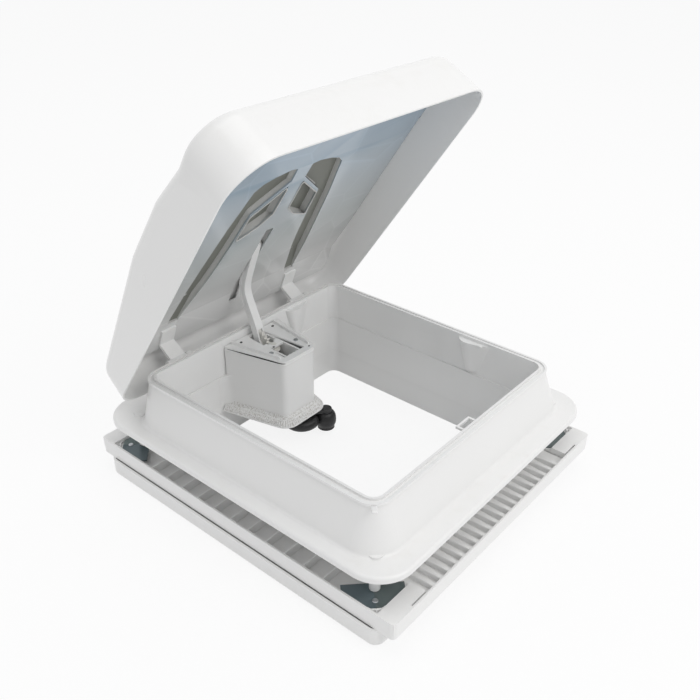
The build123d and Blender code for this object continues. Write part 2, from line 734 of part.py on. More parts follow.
with BuildPart() as crank_knob:
    knob_top = crank_bottom - seat_gap
    knob_bottom = crank_bottom - knob_height + seat_gap
    with BuildSketch(Plane((knob_x, knob_y, 0), x_dir=(1, 0, 0), z_dir=(0, -1, 0))):
        with BuildLine():
            side_line = [(a * knob_radius, knob_top + b * (knob_bottom - knob_top)) for a, b in knob_shares]
            Spline(*side_line)
            Polyline(side_line[-1], (0, knob_bottom), (0, knob_top), side_line[0])
        make_face()
    revolve(axis=Axis((knob_x, knob_y, 0), (0, 0, 1)))
    with BuildSketch(Plane.XY.offset(crank_bottom)):
        with Locations((knob_x, knob_y)):
            Circle(knob_pin_radius + running_clearance)
    extrude(amount=-knob_height, mode=Mode.SUBTRACT)
finish(crank_knob.part, "crank_knob")

# Lifting arm with its worm wheel, roller pin and rollers
arm_half = 5.5
arm_hub_radius = 9.0
arm_shares = ((0, 0), (0.065, 0.247), (0.123, 0.383), (0.160, 0.519), (0.123, 0.681), (0.065, 0.837))
arm_groove = 1.2
roller_ahead_of_hinge = 136.9251
roller_below_roof = 4.3494
roller_radius = 3.0
roller_width = 4.0
roller_pin_radius = 1.5
roller_head_radius = 2.4
rail_room = 66.2

# The rollers' place in the open lid, under the roof of the lid's rail, and the arm's reach to it
roller_rise = lid_edge + rail_room - roller_below_roof - hinge_z
turned = radians(open_angle)
tip_y = hinge_y - roller_ahead_of_hinge * cos(turned) + roller_rise * sin(turned)
tip_z = hinge_z + roller_ahead_of_hinge * sin(turned) + roller_rise * cos(turned)
arm_reach = hypot(tip_y - pivot_y, tip_z - pivot_z)

# The bowed centre line of the lifting arm, from its pivot to its rollers
arm_points = [(pivot_y + a * arm_reach, pivot_z + b * arm_reach) for a, b in arm_shares] + [(tip_y, tip_z)]

with BuildPart() as lifting_arm:
    with BuildSketch(Plane.YZ):
        with BuildLine():
            Spline(*arm_points)
        trace(line_width=2 * arm_half)
        with Locations((tip_y, tip_z)):
            Circle(arm_half)
        with Locations((pivot_y, pivot_z)):
            Circle(arm_hub_radius)
    extrude(amount=arm_side, both=True)
    # long grooves down both flanks, and the gap for the wheel
    for side in (-1, 1):
        with BuildSketch(Plane.YZ.offset(side * arm_side)):
            with BuildLine():
                Spline(*arm_points[2:])
            trace(line_width=arm_half)
        extrude(amount=-side * arm_groove, mode=Mode.SUBTRACT)
    with BuildSketch(Plane.YZ):
        with Locations((pivot_y, pivot_z)):
            Circle(wheel_radius + gear_module + edge_round)
    extrude(amount=arm_cheek_inner, both=True, mode=Mode.SUBTRACT)
    with BuildSketch(Plane.YZ):
        with Locations((pivot_y, pivot_z)):
            Circle(pivot_radius + running_clearance)
        with Locations((tip_y, tip_z)):
            Circle(roller_pin_radius)
    extrude(amount=arm_side + overrun, both=True, mode=Mode.SUBTRACT)
finish(lifting_arm.part, "lifting_arm")

with BuildPart() as worm_wheel:
    with BuildSketch(Plane.YZ.offset(-wheel_thickness / 2)):
        with Locations((pivot_y, pivot_z)):
            add(gear_outline(wheel_teeth, gear_module, 180))
            sector = [(0, 0)]
            for angle in wheel_sector_degrees:
                sector.append((2 * wheel_radius * cos(radians(angle)), 2 * wheel_radius * sin(radians(angle))))
            Polygon(*sector, align=None, mode=Mode.INTERSECT)
    extrude(amount=wheel_thickness)
    with BuildSketch(Plane.YZ):
        with Locations((pivot_y, pivot_z)):
            Circle(arm_hub_radius)
    extrude(amount=arm_cheek_inner - running_clearance, both=True)
    with BuildSketch(Plane.YZ):
        with Locations((pivot_y, pivot_z)):
            Circle(pivot_radius + running_clearance)
    extrude(amount=arm_side, both=True, mode=Mode.SUBTRACT)
finish(worm_wheel.part, "worm_wheel")

roller_inner = arm_side + seat_gap
roller_outer = roller_inner + roller_width
with BuildPart() as roller_pin:
    with BuildSketch(Plane.YZ):
        with Locations((tip_y, tip_z)):
            Circle(roller_pin_radius)
    extrude(amount=roller_outer + seat_gap, both=True)
    for side in (-1, 1):
        with BuildSketch(Plane.YZ.offset(side * (roller_outer + seat_gap))):
            with Locations((tip_y, tip_z)):
                Circle(roller_head_radius)
        extrude(amount=side * edge_round)
finish(roller_pin.part, "roller_pin")

for side, side_name in ((-1, "left"), (1, "right")):
    with BuildPart() as arm_roller:
        with BuildSketch(Plane.YZ.offset(side * roller_inner)):
            with Locations((tip_y, tip_z)):
                Circle(roller_radius)
                Circle(roller_pin_radius + running_clearance, mode=Mode.SUBTRACT)
        extrude(amount=side * roller_width)
    finish(arm_roller.part, f"arm_roller_{side_name}")

# Lid shell: a drafted dome with a dip behind its front edge, hollow underneath
lid_wall = 2.5
lid_front_corner = 58.0
lid_back_corner = 48.0
lid_shoulder = 20.0
lid_draft = 4.0
lid_headroom = 20.0
upper_edge_share = 0.4
roof_shares = ((-0.56, 0.905), (-0.40, 0.895), (-0.335, 0.87), (-0.20, 1.0), (0.0, 1.0), (0.56, 0.54))


def dome(inset):
    """The lid's outer form, or its inner form when drawn inwards by inset."""
    with BuildPart() as form:
        with BuildSketch(Plane.XY.offset(lid_edge)):
            add(rounded(inset - lid_x / 2, lid_x / 2 - inset, inset - lid_y / 2, lid_y / 2 - inset,
                        lid_front_corner - inset, lid_back_corner - inset))
        extrude(amount=lid_crown + lid_headroom, taper=lid_draft)
        with BuildSketch(Plane.YZ):
            with BuildLine():
                roof = [(a * lid_y, lid_edge + b * lid_crown - inset) for a, b in roof_shares]
                FilletPolyline(*roof, (roof[-1][0], lid_edge), (roof[0][0], lid_edge),
                               radius=lid_shoulder, close=True)
            make_face()
        extrude(amount=lid_x / 2, both=True, mode=Mode.INTERSECT)
        upper = form.edges().filter_by(lambda e: min((e @ 0).Z, (e @ 1).Z) > lid_edge + lid_crown * upper_edge_share)
        across = upper.filter_by(lambda e: abs((e @ 0).X - (e @ 1).X) > lid_x / 2
                                 and abs((e @ 0).Y) < lid_y / 2 - lid_shoulder)
        fillet(upper - across, lid_shoulder - inset)
    return form.part


with BuildPart() as lid_shell:
    add(dome(0))
    add(dome(lid_wall), mode=Mode.SUBTRACT)
finish(opened(lid_shell.part), "lid_shell")

# Lid liner: the flat inner panel, with the arm's slot and two long tapering cut-outs
liner_thickness = 2.0
liner_behind_hinge = 9.0
liner_back_rise = 41.0
liner_crease_ahead = 39.0
liner_crease_rise = 52.0
liner_bend_inset = 137.0
liner_bend_rise = 56.6
liner_front_inset = 10.0
liner_front_rise = 55.6
liner_upturn = 5.0
arm_slot_half = 7.0
arm_slot_front_ahead = 180.0
arm_slot_back_ahead = 21.0
liner_back_y = hinge_y + liner_behind_hinge
liner_crease_y = hinge_y - liner_crease_ahead
liner_bend_y = liner_bend_inset - lid_y / 2
liner_front_y = liner_front_inset - lid_y / 2
arm_slot_front_y = hinge_y - arm_slot_front_ahead
arm_slot_back_y = hinge_y - arm_slot_back_ahead
cutout_shares = (
    ((0.547, 0.356), (0.516, 0.214), (0.471, 0.085), (0.422, -0.042), (0.381, -0.119), (0.354, -0.172),
     (0.305, -0.193), (0.224, -0.206), (0.117, -0.214), (0.058, -0.210), (0.054, -0.161), (0.278, -0.072),
     (0.296, -0.008), (0.309, 0.047), (0.336, 0.129), (0.368, 0.203), (0.466, 0.356)),
    ((0.274, -0.059), (0.291, 0.038), (0.143, 0.004), (0.063, -0.034), (0.058, -0.144)),
)
liner_levels = (
    (liner_back_y, lid_edge + liner_back_rise),
    (liner_crease_y, lid_edge + liner_crease_rise),
    (liner_bend_y, lid_edge + liner_bend_rise),
    (liner_front_y, lid_edge + liner_front_rise),
)
liner_slope = (liner_crease_rise - liner_back_rise) / (liner_back_y - liner_crease_y)
panel_slope = (liner_bend_rise - liner_crease_rise) / (liner_crease_y - liner_bend_y)

with BuildPart() as lid_liner:
    with BuildSketch(Plane.YZ):
        back_level = lid_edge + liner_back_rise
        Polygon(*liner_levels, *[(y, z + liner_thickness) for y, z in reversed(liner_levels[1:])],
                (liner_back_y - liner_thickness, back_level + liner_thickness),
                (liner_back_y - liner_thickness, back_level + liner_upturn),
                (liner_back_y, back_level + liner_upturn), align=None)
    extrude(amount=lid_x / 2, both=True)
    with BuildSketch(Plane.XY.offset(lid_edge)):
        add(rounded(-arm_slot_half, arm_slot_half, arm_slot_front_y, arm_slot_back_y, edge_round, edge_round))
        for shares in cutout_shares:
            for side in (-1, 1):
                Polygon(*[(side * a * lid_x / 2, b * lid_y) for a, b in shares], align=None)
    extrude(amount=lid_crown, mode=Mode.SUBTRACT)
    add(dome(lid_wall + seat_gap), mode=Mode.INTERSECT)
finish(opened(lid_liner.part), "lid_liner")

# Hinge leaves that hang the lid on its pins
leaf_thickness = 4.0
leaf_barrel_radius = 5.0
leaf_foot = 26.0
leaf_foot_thickness = 3.0
leaf_top = lid_edge + liner_back_rise + liner_slope * (liner_back_y - hinge_y)
for side, side_name in ((-1, "left"), (1, "right")):
    with BuildPart() as hinge_leaf:
        with BuildSketch(Plane.YZ.offset(side * hinge_offset)):
            with Locations((hinge_y, hinge_z)):
                Circle(leaf_barrel_radius)
            Polygon((hinge_y - leaf_thickness / 2, hinge_z), (hinge_y + leaf_thickness / 2, hinge_z),
                    (hinge_y + leaf_thickness / 2, leaf_top - leaf_foot_thickness / 2),
                    (hinge_y - leaf_thickness / 2, leaf_top - leaf_foot_thickness / 2), align=None)
            Polygon((hinge_y + leaf_thickness / 2, leaf_top - liner_slope * leaf_thickness / 2),
                    (hinge_y + leaf_thickness / 2, leaf_top - liner_slope * leaf_thickness / 2 - leaf_foot_thickness),
                    (hinge_y - leaf_foot, leaf_top + liner_slope * leaf_foot - leaf_foot_thickness),
                    (hinge_y - leaf_foot, leaf_top + liner_slope * leaf_foot), align=None)
            with Locations((hinge_y, hinge_z)):
                Circle(hinge_pin_radius + running_clearance, mode=Mode.SUBTRACT)
        extrude(amount=leaf_width / 2, both=True)
    finish(opened(hinge_leaf.part), f"hinge_leaf_{side_name}")

# Slide rail behind the liner's slot: the rollers run between the liner and the rail's roof
rail_wall = 2.0
rail_roof = 1.8
rail_foot = 8.0
rail_foot_thickness = 2.0
rail_front_ahead = 184.0
rail_back_ahead = 125.0
rail_front_y = hinge_y - rail_front_ahead
rail_back_y = hinge_y - rail_back_ahead
rail_side_gap = 0.5
rail_inner = roller_outer + seat_gap + edge_round + rail_side_gap
rail_outer = rail_inner + rail_wall


def panel_back(y):
    """Height of the liner's back face over a place in plan."""
    return lid_edge + liner_crease_rise + panel_slope * (liner_crease_y - y) + liner_thickness


with BuildPart() as slide_rail:
    feet = ((rail_front_y, panel_back(rail_front_y)), (rail_back_y, panel_back(rail_back_y)))
    roof_z = lid_edge + rail_room
    with BuildSketch(Plane.YZ):
        Polygon(*feet, (rail_back_y, roof_z + rail_roof), (rail_front_y, roof_z + rail_roof), align=None)
    extrude(amount=rail_outer, both=True)
    with BuildSketch(Plane.YZ):
        Polygon(*feet, *[(y, z + rail_foot_thickness) for y, z in reversed(feet)], align=None)
    extrude(amount=rail_outer + rail_foot, both=True)
    with BuildSketch(Plane.YZ):
        Polygon((rail_front_y + rail_wall, lid_edge), (rail_back_y + overrun, lid_edge),
                (rail_back_y + overrun, roof_z), (rail_front_y + rail_wall, roof_z), align=None)
    extrude(amount=rail_inner, both=True, mode=Mode.SUBTRACT)
    with BuildSketch(Plane.XY.offset(roof_z - overrun)):
        with Locations((0, (rail_front_y + rail_wall + rail_back_y + overrun) / 2)):
            Rectangle(2 * arm_slot_half, rail_back_y + overrun - rail_front_y - rail_wall)
    extrude(amount=rail_roof + 2 * overrun, mode=Mode.SUBTRACT)
finish(opened(slide_rail.part), "slide_rail")
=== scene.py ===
"""Looks of the caravan roof vent: materials, small moulded detail, studio and camera.

Metres, in the same frame as the CAD: +Z up through the roof, +Y towards the lid's hinge.
Measures of the detail are in millimetres and are turned into metres where points are made.
"""

import json
from math import cos, radians, sin

import bpy
import numpy as np
from mathutils import Matrix, Vector


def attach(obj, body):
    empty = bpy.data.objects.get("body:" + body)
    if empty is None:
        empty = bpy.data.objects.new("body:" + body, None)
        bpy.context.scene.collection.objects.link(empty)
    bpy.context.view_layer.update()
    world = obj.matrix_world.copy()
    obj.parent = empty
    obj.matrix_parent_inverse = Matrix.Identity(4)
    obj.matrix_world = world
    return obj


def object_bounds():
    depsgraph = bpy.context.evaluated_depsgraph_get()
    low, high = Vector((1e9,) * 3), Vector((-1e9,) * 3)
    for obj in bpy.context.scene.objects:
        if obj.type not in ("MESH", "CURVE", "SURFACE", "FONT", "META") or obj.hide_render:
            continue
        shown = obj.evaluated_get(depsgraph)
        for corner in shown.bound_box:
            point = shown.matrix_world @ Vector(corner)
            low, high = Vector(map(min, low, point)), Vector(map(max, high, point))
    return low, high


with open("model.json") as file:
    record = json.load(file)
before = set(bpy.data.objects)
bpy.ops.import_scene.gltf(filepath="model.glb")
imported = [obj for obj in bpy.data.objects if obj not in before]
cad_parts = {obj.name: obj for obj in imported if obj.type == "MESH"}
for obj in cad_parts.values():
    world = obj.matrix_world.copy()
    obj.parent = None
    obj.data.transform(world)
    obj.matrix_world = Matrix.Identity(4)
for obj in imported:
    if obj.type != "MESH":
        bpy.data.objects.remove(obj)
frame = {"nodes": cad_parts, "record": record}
cad_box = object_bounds()

MM = 0.001

# Lid and liner: hinge, angle in the frame, outer size, wall, and the liner's height over the lid's edge
HINGE_Y, HINGE_Z = 201.0, 102.0
LID_ANGLE = radians(55.3)
LID_EDGE, LID_CROWN = 92.0, 83.0
LID_X, LID_Y = 446.0, 472.0
LID_WALL = 2.5
LINER_THICKNESS = 2.0
LINER_Y = (-226.0, -99.0, 162.0, 210.0)
LINER_RISE = (55.6, 56.6, 52.0, 41.0)
ROOF_SHARES = ((-0.56, -0.40, -0.335, -0.20, 0.0, 0.56), (0.905, 0.895, 0.87, 1.0, 1.0, 0.54))

# Frame and tray
RIM_Z = 112.0
OPENING_X, OPENING_FRONT, OPENING_BACK = 360.0, -191.0, 183.0
LEDGE_Z, LEDGE_STEP, LEDGE_CORNER = 55.0, 1.6, 12.4
LATCH_X, LATCH_Y = 96.0, -83.0
TRAY_Y, TRAY_WALL = 510.0, 2.4
TRAY_FLOOR, SCOOP_FLOOR = -9.6, -4.6
CLAMP_X, CLAMP_Y = 206.0, 215.0

# Gearbox and knob
BOX_BACK_HALF, BOX_FRONT_HALF, BOX_CORNER = 54.6, 31.0, 10.0
BOX_BACK_Y, BOX_FRONT_Y, BOX_TOP, BOX_FOOT = 181.1, 86.0, 99.0, 8.0
BOX_SLANT = (BOX_BACK_HALF - BOX_FRONT_HALF) / (BOX_BACK_Y - BOX_FRONT_Y)
COVER_TOP = 102.0
KNOB_X, KNOB_Y = 37.0, 72.0

# The liner's length, and the colours of its painted reflection from the hinge to the front edge
LINER_SPAN = 430.0
LINER_REFLECTION_STOPS = ((0.0, (0.70, 0.70, 0.69)), (0.11, (0.66, 0.66, 0.65)), (0.17, (0.48, 0.49, 0.48)),
               (0.34, (0.30, 0.34, 0.34)), (0.52, (0.27, 0.33, 0.37)), (0.70, (0.22, 0.33, 0.43)),
               (1.0, (0.17, 0.30, 0.45)))
PLATE_FOLD_OFFSET, PLATE_FOLD_SLOPE = 9.0, 0.22

# Camera, from the photograph's straight edges: degrees, and the focal length in pixels
CAM_AZ, CAM_EL, CAM_ROLL = -50.16, 30.75, -0.55
CAM_TARGET = Vector((41.28, 30.57, 112.0)) * MM
CAM_DISTANCE = 1159.6 * MM
FOCAL_PX, PICTURE_PX, SENSOR_WIDTH = 839.97, 700.0, 36.0


def make_camera():
    """The photograph's camera: placed by azimuth, elevation and distance round its target."""
    a, e, r = radians(CAM_AZ), radians(CAM_EL), radians(CAM_ROLL)
    back = Vector((sin(a) * cos(e), -cos(a) * cos(e), sin(e)))
    level = Vector((cos(a), sin(a), 0.0))
    above = back.cross(level)
    right = cos(r) * level - sin(r) * above
    up = sin(r) * level + cos(r) * above
    cam = bpy.data.objects.new("camera", bpy.data.cameras.new("camera"))
    turned = Matrix((right, up, back)).transposed().to_4x4()
    cam.matrix_world = Matrix.Translation(CAM_TARGET + back * CAM_DISTANCE) @ turned
    cam.data.sensor_width = SENSOR_WIDTH
    cam.data.lens = FOCAL_PX / PICTURE_PX * SENSOR_WIDTH
    cam.data.clip_start = 0.05
    cam.data.clip_end = 60.0
    bpy.context.scene.collection.objects.link(cam)
    bpy.context.scene.camera = cam


# Shader helpers

def node(tree, kind, inputs=None, **settings):
    """A shader node with its settings made; each input takes a value or another node's output."""
    made = tree.nodes.new(kind)
    for key, value in settings.items():
        setattr(made, key, value)
    for key, value in (inputs or {}).items():
        if isinstance(value, bpy.types.NodeSocket):
            tree.links.new(value, made.inputs[key])
        else:
            made.inputs[key].default_value = value
    return made


def calculate(tree, operation, first, second=0.0):
    """The result of one sum over two values."""
    return node(tree, "ShaderNodeMath", {0: first, 1: second}, operation=operation).outputs[0]


def mapped(tree, value, low, high, to_low=0.0, to_high=1.0, soft=False):
    """A value taken from one span to another and held at its ends; soft eases it in and out."""
    spans = {"Value": value, "From Min": low, "From Max": high, "To Min": to_low, "To Max": to_high}
    kind = "SMOOTHSTEP" if soft else "LINEAR"
    return node(tree, "ShaderNodeMapRange", spans, interpolation_type=kind).outputs["Result"]


def noise(tree, place, scale, detail, roughness=0.5):
    """A fractal noise from 0 to 1."""
    inputs = {"Vector": place, "Scale": scale, "Detail": detail, "Roughness": roughness}
    return node(tree, "ShaderNodeTexNoise", inputs).outputs["Fac"]


def ramp(tree, share, stops):
    """A colour read off a row of stops, each a place and a colour."""
    made = node(tree, "ShaderNodeValToRGB", {"Fac": share})
    row = made.color_ramp.elements
    for number, (at, color) in enumerate(stops):
        stop = row[number] if number < 2 else row.new(at)
        stop.position = at
        stop.color = (*color, 1)
    return made.outputs["Color"]


def mixed(tree, share, first, second, kind="MIX"):
    """Two colours mixed by a share."""
    inputs = {"Factor": share, "A": first, "B": second}
    return node(tree, "ShaderNodeMix", inputs, data_type="RGBA", blend_type=kind).outputs["Result"]


def object_place(tree):
    """The point on the object's own surface."""
    return tree.nodes.new("ShaderNodeTexCoord").outputs["Object"]


def new_group(name):
    """An empty shader group."""
    return bpy.data.node_groups.new(name, "ShaderNodeTree")


def close_group(tree, **outputs):
    """The group with its named outputs, each with the value that it gives."""
    for name in outputs:
        kind = "NodeSocketColor" if name == "Color" else "NodeSocketFloat"
        tree.interface.new_socket(name, in_out="OUTPUT", socket_type=kind)
    node(tree, "NodeGroupOutput", outputs)
    return tree


def moulded_surface():
    """Shared effect of moulded plastic: a fine grain, a slow colour drift, and masks of dust and of edges; the edge
    mask lightens edges both as wear and as a painted highlight.
    """
    tree = new_group("moulded_surface")
    tree.interface.new_socket("Grain", in_out="INPUT", socket_type="NodeSocketFloat").default_value = 900.0
    place = object_place(tree)
    grain = noise(tree, place, tree.nodes.new("NodeGroupInput").outputs["Grain"], 3.0, 0.6)
    geometry = node(tree, "ShaderNodeNewGeometry")
    up = node(tree, "ShaderNodeSeparateXYZ", {0: geometry.outputs["Normal"]}).outputs["Z"]
    facing = mapped(tree, up, 0.2, 1.0, soft=True)
    patch = mapped(tree, noise(tree, place, 38.0, 5.0, 0.65), 0.48, 0.72, soft=True)
    return close_group(tree, Height=grain, Drift=noise(tree, place, 7.0, 2.0),
                       Dust=calculate(tree, "MULTIPLY", facing, patch),
                       Wear=mapped(tree, geometry.outputs["Pointiness"], 0.52, 0.6, soft=True))


SURFACE = moulded_surface()


def surface(name, color, low, high, dust_color, roughness, grain=900.0, bump=0.02, metallic=0.0, coat=0.0,
            dust=0.25, wear_and_highlight=0.3, edge_color=None, ior=1.46, painted_light=None, fold=None):
    """A moulded or coated material: colour drifting between two shades, dust on what faces up, and lighter edges that
    are both wear and a painted highlight.

    The group passed for painted light, shade and reflection multiplies the plain colour with its own; fold is one that
    gives a pressed fold's height.
    """
    mat = bpy.data.materials.new(name)
    mat.use_nodes = True
    tree = mat.node_tree
    tree.nodes.clear()
    look = node(tree, "ShaderNodeGroup", node_tree=SURFACE)
    look.inputs["Grain"].default_value = grain
    drift = look.outputs["Drift"]
    shade = ramp(tree, drift, ((0.3, [c * low for c in color]), (0.7, [min(1.0, c * high) for c in color])))
    # Painted light and shade multiplied in: the liner's painted reflections, the plates' lit and shaded halves, the
    # shade spots of the skirt's knurling.
    if painted_light:
        paint = node(tree, "ShaderNodeGroup", node_tree=painted_light).outputs["Color"]
        shade = mixed(tree, 1.0, shade, paint, "MULTIPLY")
    shade = mixed(tree, calculate(tree, "MULTIPLY", look.outputs["Dust"], dust), shade, (*dust_color, 1))
    # Lighter edges: partly wear, partly a painted highlight.
    edge = edge_color or [min(1.0, c * 1.08) for c in color]
    shade = mixed(tree, calculate(tree, "MULTIPLY", look.outputs["Wear"], wear_and_highlight), shade, (*edge, 1))
    relief = {"Strength": bump, "Distance": 0.0004, "Height": look.outputs["Height"]}
    if fold:
        crease = {"Strength": 1.0, "Distance": 1.0,
                  "Height": node(tree, "ShaderNodeGroup", node_tree=fold).outputs["Height"]}
        relief["Normal"] = node(tree, "ShaderNodeBump", crease).outputs["Normal"]
    bsdf = node(tree, "ShaderNodeBsdfPrincipled", {
        "Base Color": shade, "Metallic": metallic, "IOR": ior, "Coat Weight": coat, "Coat Roughness": 0.08,
        "Roughness": mapped(tree, drift, 0.0, 1.0, roughness, min(1.0, roughness + 0.12)),
        "Normal": node(tree, "ShaderNodeBump", relief).outputs["Normal"]})
    node(tree, "ShaderNodeOutputMaterial", {"Surface": bsdf.outputs[0]})
    return mat


def liner_painted_reflection():
    """Painted reflection on the liner: its colour over its length, pale at the hinge to blue at the front edge, stands
    in for what the glossy liner reflects, and faint cells with lighter seams are painted reflections of mirrored window
    panes.
    """
    tree = new_group("liner_painted_reflection")
    place = object_place(tree)
    down = {0: place, 1: (0.0, -cos(LID_ANGLE), sin(LID_ANGLE))}
    along = node(tree, "ShaderNodeVectorMath", down, operation="DOT_PRODUCT").outputs["Value"]
    start = (-HINGE_Y * cos(LID_ANGLE) + HINGE_Z * sin(LID_ANGLE)) * MM
    color = ramp(tree, mapped(tree, along, start, start + LINER_SPAN * MM), LINER_REFLECTION_STOPS)
    # Painted reflection of window panes: cells with lighter seams, each cell a little lighter or darker.
    panes = {"Vector": place, "Scale": 9.0}
    border = node(tree, "ShaderNodeTexVoronoi", panes, feature="DISTANCE_TO_EDGE").outputs["Distance"]
    cell = node(tree, "ShaderNodeTexVoronoi", panes, feature="F1").outputs["Color"]
    lot = node(tree, "ShaderNodeSeparateColor", {0: cell}).outputs[0]
    seam, depth = mapped(tree, border, 0.0, 0.02, 1.12, 1.0), mapped(tree, lot, 0.0, 1.0, 0.9, 1.04)
    light = calculate(tree, "MULTIPLY", seam, depth)
    shaded = node(tree, "ShaderNodeVectorMath", {0: color, "Scale": light}, operation="SCALE")
    return close_group(tree, Color=shaded.outputs["Vector"])


def knurl_painted_shade():
    """Painted shade standing in for the shadows in the skirt's knurling: small dark spots cut from a fine noise."""
    tree = new_group("skirt_painted_shade")
    grain = noise(tree, object_place(tree), 430.0, 2.0, 0.7)
    return close_group(tree, Color=ramp(tree, grain, ((0.36, (0.66, 0.64, 0.61)), (0.54, (1, 1, 1)))))


def beyond_diagonal(tree):
    """How much further a point lies along y than along x, both measured from the middle."""
    axes = node(tree, "ShaderNodeSeparateXYZ", {0: object_place(tree)}).outputs
    x, y = (calculate(tree, "ABSOLUTE", axes[axis]) for axis in ("X", "Y"))
    return calculate(tree, "SUBTRACT", y, x)


def plate_fold():
    """The shallow fold of a corner plate along its diagonal: height = slope times the distance to the fold line."""
    tree = new_group("plate_fold")
    off = calculate(tree, "SUBTRACT", beyond_diagonal(tree), PLATE_FOLD_OFFSET * MM)
    return close_group(tree, Height=calculate(tree, "MULTIPLY", calculate(tree, "ABSOLUTE", off), PLATE_FOLD_SLOPE))


def plate_painted_shade():
    """Painted shade and light of a fold: one half of a corner plate bluer and darker as a shaded face, the other
    greener and lighter as a lit face, split at the fold line.
    """
    tree = new_group("plate_painted_shade")
    blur = 2.0
    start, end = (PLATE_FOLD_OFFSET - blur) * MM, (PLATE_FOLD_OFFSET + blur) * MM
    half = mapped(tree, beyond_diagonal(tree), start, end, soft=True)
    return close_group(tree, Color=ramp(tree, half, ((0.0, (0.72, 0.93, 1.12)), (1.0, (1.25, 1.2, 1.05)))))


WHITE = (0.86, 0.858, 0.85)
PLASTIC = surface("white_plastic", WHITE, 0.985, 1.0, (0.78, 0.77, 0.74), 0.24, grain=1100, bump=0.03, coat=0.25)
# The liner's colour comes from its painted reflection, multiplied onto white.
LINER = surface("liner_plastic", (1.0, 1.0, 1.0), 0.96, 1.0, (0.5, 0.55, 0.57), 0.1, grain=500, bump=0.01,
                coat=0.2, dust=0.05, ior=1.36, painted_light=liner_painted_reflection())
# The plate's two halves are tinted as painted shade and light of a fold.
PLATE = surface("plate_steel", (0.075, 0.105, 0.11), 0.85, 1.1, (0.2, 0.22, 0.21), 0.38, grain=1600, bump=0.08,
                metallic=0.55, dust=0.15, wear_and_highlight=0.5, edge_color=(0.22, 0.26, 0.27), painted_light=plate_painted_shade(),
                fold=plate_fold())
# Olive-grey recess plastic, made darker as painted shade inside the hollow.
RECESS = surface("recess_floor_painted_shade", (0.20, 0.205, 0.18), 0.85, 1.1, (0.26, 0.26, 0.23), 0.45, grain=900, bump=0.04)
RECESS_WALL = surface("recess_wall", (0.55, 0.55, 0.535), 0.97, 1.02, (0.6, 0.6, 0.58), 0.35, grain=1000,
                      bump=0.03)
# The skirt's small dark spots are painted shade for its knurling.
SKIRT = surface("skirt_plastic", WHITE, 0.97, 1.0, (0.6, 0.58, 0.54), 0.3, grain=1200, bump=0.08, painted_light=knurl_painted_shade())
# Black plastic of the crank; the black leaves that are painted shadows use it too.
BLACK = surface("black_plastic", (0.016, 0.016, 0.017), 0.85, 1.1, (0.06, 0.06, 0.058), 0.42, grain=1400,
                bump=0.12, dust=0.3, wear_and_highlight=0.4, edge_color=(0.05, 0.05, 0.052))
GEAR = surface("gear_plastic", (0.74, 0.73, 0.69), 0.96, 1.02, (0.55, 0.53, 0.48), 0.36, grain=1300, bump=0.05)
STEEL = surface("steel", (0.46, 0.48, 0.5), 0.9, 1.08, (0.3, 0.3, 0.29), 0.26, grain=1900, bump=0.08,
                metallic=1.0, dust=0.2)
LOOKS = {"white_plastic": PLASTIC, "liner_plastic": LINER, "plate_steel": PLATE, "black_plastic": BLACK,
         "gear_plastic": GEAR, "steel": STEEL}

slots = {part["node"]: part["material_slot"] for part in frame["record"]["subparts"]}
for name, obj in frame["nodes"].items():
    for place in obj.material_slots:
        place.material = LOOKS[slots[name]]


# Surfaces of the small moulded detail

def mm(*axes):
    """Grids of x, y and z in millimetres as one grid of points in metres."""
    return np.stack(np.broadcast_arrays(*axes), axis=-1) * MM


def opened(x, y, rise):
    """Points of the shut lid turned with it about the hinge, by its angle a.

    With dy and dz from the hinge: y = hinge + dy cos a + dz sin a, z = hinge - dy sin a + dz cos a.
    """
    dy, dz = y - HINGE_Y, LID_EDGE + rise - HINGE_Z
    return mm(x, HINGE_Y + dy * cos(LID_ANGLE) + dz * sin(LID_ANGLE),
              HINGE_Z - dy * sin(LID_ANGLE) + dz * cos(LID_ANGLE))


def quads(*corners):
    """Four grids of point numbers as rows of four."""
    return np.stack([corner.ravel() for corner in corners], axis=1)


def outward(points, faces):
    """The closed skin's faces, turned over where its volume comes out negative."""
    a, b, c, d = (points[faces[:, k]] for k in range(4))
    volume = np.sum(a * np.cross(b, c)) + np.sum(a * np.cross(c, d))
    return points, faces if volume > 0 else faces[:, ::-1]


def shell(top, bottom):
    """A closed skin: a grid of upper points, a grid of lower points, and the four edges between them."""
    rows, columns = top.shape[:2]
    i = np.arange(rows * columns).reshape(rows, columns)
    j = i + rows * columns
    faces = np.concatenate([
        quads(i[:-1, :-1], i[1:, :-1], i[1:, 1:], i[:-1, 1:]), quads(j[:-1, :-1], j[:-1, 1:], j[1:, 1:], j[1:, :-1]),
        quads(i[0, :-1], i[0, 1:], j[0, 1:], j[0, :-1]), quads(i[-1, 1:], i[-1, :-1], j[-1, :-1], j[-1, 1:]),
        quads(i[1:, 0], i[:-1, 0], j[:-1, 0], j[1:, 0]), quads(i[:-1, -1], i[1:, -1], j[1:, -1], j[:-1, -1])])
    return outward(np.concatenate([top.reshape(-1, 3), bottom.reshape(-1, 3)]), faces)


def tube(rings):
    """A closed skin over rings of points along a path, with an even number round each and flat ends."""
    rows, count = rings.shape[:2]
    i = np.arange(rows * count).reshape(rows, count)
    ahead = np.roll(i, -1, axis=1)
    near = np.arange(count // 2 - 1)
    far = count - 1 - near
    faces = np.concatenate([
        quads(i[:-1], ahead[:-1], ahead[1:], i[1:]),
        quads(i[0][near + 1], i[0][near], i[0][far], i[0][far - 1]),
        quads(i[-1][near], i[-1][near + 1], i[-1][far - 1], i[-1][far])])
    return outward(rings.reshape(-1, 3), faces)


